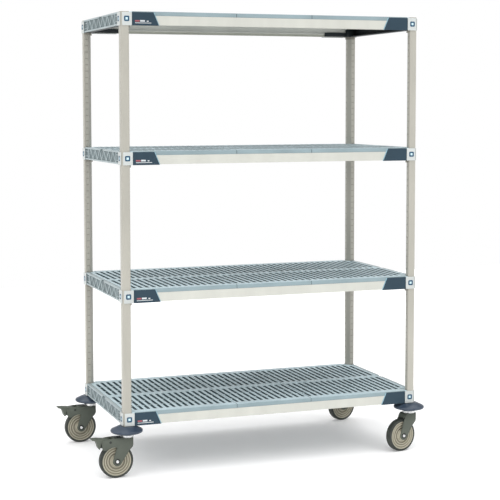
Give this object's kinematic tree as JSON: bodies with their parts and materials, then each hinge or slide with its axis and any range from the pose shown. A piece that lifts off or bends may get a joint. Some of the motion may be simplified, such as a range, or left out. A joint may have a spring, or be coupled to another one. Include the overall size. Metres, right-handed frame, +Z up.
{
  "type": "shelf cart",
  "caption": "Mobile storage cart: slotted-mat shelves on corner posts, height-set in steps, on swivel casters with round bumpers and foot brakes.",
  "frame": {"origin": "on the floor, below the middle of the overall box, brake pedals and bumpers included", "axes": "+Z up, +X along the length away from the braked casters, -Y the front long side"},
  "size_m": [1.3638, 0.6854, 1.7152],
  "materials": {
    "mat": "satin moulded polymer, pale blue-grey",
    "end_frame": "satin moulded polymer, blue-grey",
    "corner_bracket": "satin moulded polymer, dark blue",
    "corner_plate": "satin moulded polymer, off-white",
    "lock_blue": "gloss polymer, blue",
    "beam": "satin off-white coating",
    "post": "satin taupe coating",
    "bumper": "matt soft rubber, dark blue-violet",
    "fork": "matt nylon, dark grey-green",
    "wheel": "satin nylon, warm grey",
    "tyre": "matt dark grey tread",
    "steel": "bright zinc-plated steel"
  },
  "bodies": {
    "frame": {"post_front_left": "post", "caster_stem_front_left": "steel", "bumper_front_left": "bumper", "post_front_right": "post", "caster_stem_front_right": "steel", "bumper_front_right": "bumper", "post_rear_left": "post", "caster_stem_rear_left": "steel", "bumper_rear_left": "bumper", "post_rear_right": "post", "caster_stem_rear_right": "steel", "bumper_rear_right": "bumper"},
    "shelf_1": {"shelf_1_end_frame_left": "end_frame", "shelf_1_end_frame_right": "end_frame", "shelf_1_beam_front": "beam", "shelf_1_beam_rear": "beam", "shelf_1_mat_left": "mat", "shelf_1_mat_centre": "mat", "shelf_1_mat_right": "mat"},
    "shelf_2": {"shelf_2_end_frame_left": "end_frame", "shelf_2_end_frame_right": "end_frame", "shelf_2_beam_front": "beam", "shelf_2_beam_rear": "beam", "shelf_2_mat_left": "mat", "shelf_2_mat_centre": "mat", "shelf_2_mat_right": "mat"},
    "shelf_3": {"shelf_3_end_frame_left": "end_frame", "shelf_3_end_frame_right": "end_frame", "shelf_3_beam_front": "beam", "shelf_3_beam_rear": "beam", "shelf_3_mat_left": "mat", "shelf_3_mat_centre": "mat", "shelf_3_mat_right": "mat"},
    "shelf_4": {"shelf_4_end_frame_left": "end_frame", "shelf_4_end_frame_right": "end_frame", "shelf_4_beam_front": "beam", "shelf_4_beam_rear": "beam", "shelf_4_mat_left": "mat", "shelf_4_mat_centre": "mat", "shelf_4_mat_right": "mat"},
    "swivel_front_left": {"fork_front_left": "fork", "axle_front_left": "steel", "brake_pin_front_left": "steel"},
    "wheel_front_left_body": {"wheel_front_left": "wheel", "tyre_front_left": "tyre"},
    "pedal_front_left": {"brake_pedal_front_left": "fork"},
    "swivel_front_right": {"fork_front_right": "fork", "axle_front_right": "steel"},
    "wheel_front_right_body": {"wheel_front_right": "wheel", "tyre_front_right": "tyre"},
    "swivel_rear_left": {"fork_rear_left": "fork", "axle_rear_left": "steel", "brake_pin_rear_left": "steel"},
    "wheel_rear_left_body": {"wheel_rear_left": "wheel", "tyre_rear_left": "tyre"},
    "pedal_rear_left": {"brake_pedal_rear_left": "fork"},
    "swivel_rear_right": {"fork_rear_right": "fork", "axle_rear_right": "steel"},
    "wheel_rear_right_body": {"wheel_rear_right": "wheel", "tyre_rear_right": "tyre"}
  },
  "joints": [
    {"name": "shelf_1_height", "type": "slide", "parent": "frame", "child": "shelf_1", "axis": [0, 0, 1], "range_m": [0, 0.2032]},
    {"name": "shelf_2_height", "type": "slide", "parent": "frame", "child": "shelf_2", "axis": [0, 0, 1], "range_m": [0, 0.2032]},
    {"name": "shelf_3_height", "type": "slide", "parent": "frame", "child": "shelf_3", "axis": [0, 0, 1], "range_m": [0, 0.2032]},
    {"name": "shelf_4_height", "type": "slide", "parent": "frame", "child": "shelf_4", "axis": [0, 0, 1], "range_m": [-0.2032, 0]},
    {"name": "swivel_front_left_turn", "type": "hinge", "parent": "frame", "child": "swivel_front_left", "pos_m": [-0.54495, -0.2822, 0.15], "axis": [0, 0, 1], "continuous": true},
    {"name": "wheel_front_left_spin", "type": "hinge", "parent": "swivel_front_left", "child": "wheel_front_left_body", "pos_m": [-0.58695, -0.2822, 0.0635], "axis": [0, 1, 0], "continuous": true},
    {"name": "brake_front_left_press", "type": "hinge", "parent": "swivel_front_left", "child": "pedal_front_left", "pos_m": [-0.61295, -0.2822, 0.138], "axis": [0, -1, 0], "range_deg": [0, 12]},
    {"name": "swivel_front_right_turn", "type": "hinge", "parent": "frame", "child": "swivel_front_right", "pos_m": [0.62145, -0.2822, 0.15], "axis": [0, 0, 1], "continuous": true},
    {"name": "wheel_front_right_spin", "type": "hinge", "parent": "swivel_front_right", "child": "wheel_front_right_body", "pos_m": [0.58045, -0.29129, 0.0635], "axis": [-0.2164, 0.9763, 0], "continuous": true},
    {"name": "swivel_rear_left_turn", "type": "hinge", "parent": "frame", "child": "swivel_rear_left", "pos_m": [-0.54495, 0.2822, 0.15], "axis": [0, 0, 1], "continuous": true},
    {"name": "wheel_rear_left_spin", "type": "hinge", "parent": "swivel_rear_left", "child": "wheel_rear_left_body", "pos_m": [-0.58695, 0.2822, 0.0635], "axis": [0, 1, 0], "continuous": true},
    {"name": "brake_rear_left_press", "type": "hinge", "parent": "swivel_rear_left", "child": "pedal_rear_left", "pos_m": [-0.61295, 0.2822, 0.138], "axis": [0, -1, 0], "range_deg": [0, 12]},
    {"name": "swivel_rear_right_turn", "type": "hinge", "parent": "frame", "child": "swivel_rear_right", "pos_m": [0.62145, 0.2822, 0.15], "axis": [0, 0, 1], "continuous": true},
    {"name": "wheel_rear_right_spin", "type": "hinge", "parent": "swivel_rear_right", "child": "wheel_rear_right_body", "pos_m": [0.58053, 0.27275, 0.0635], "axis": [-0.225, 0.9744, 0], "continuous": true}
  ]
}
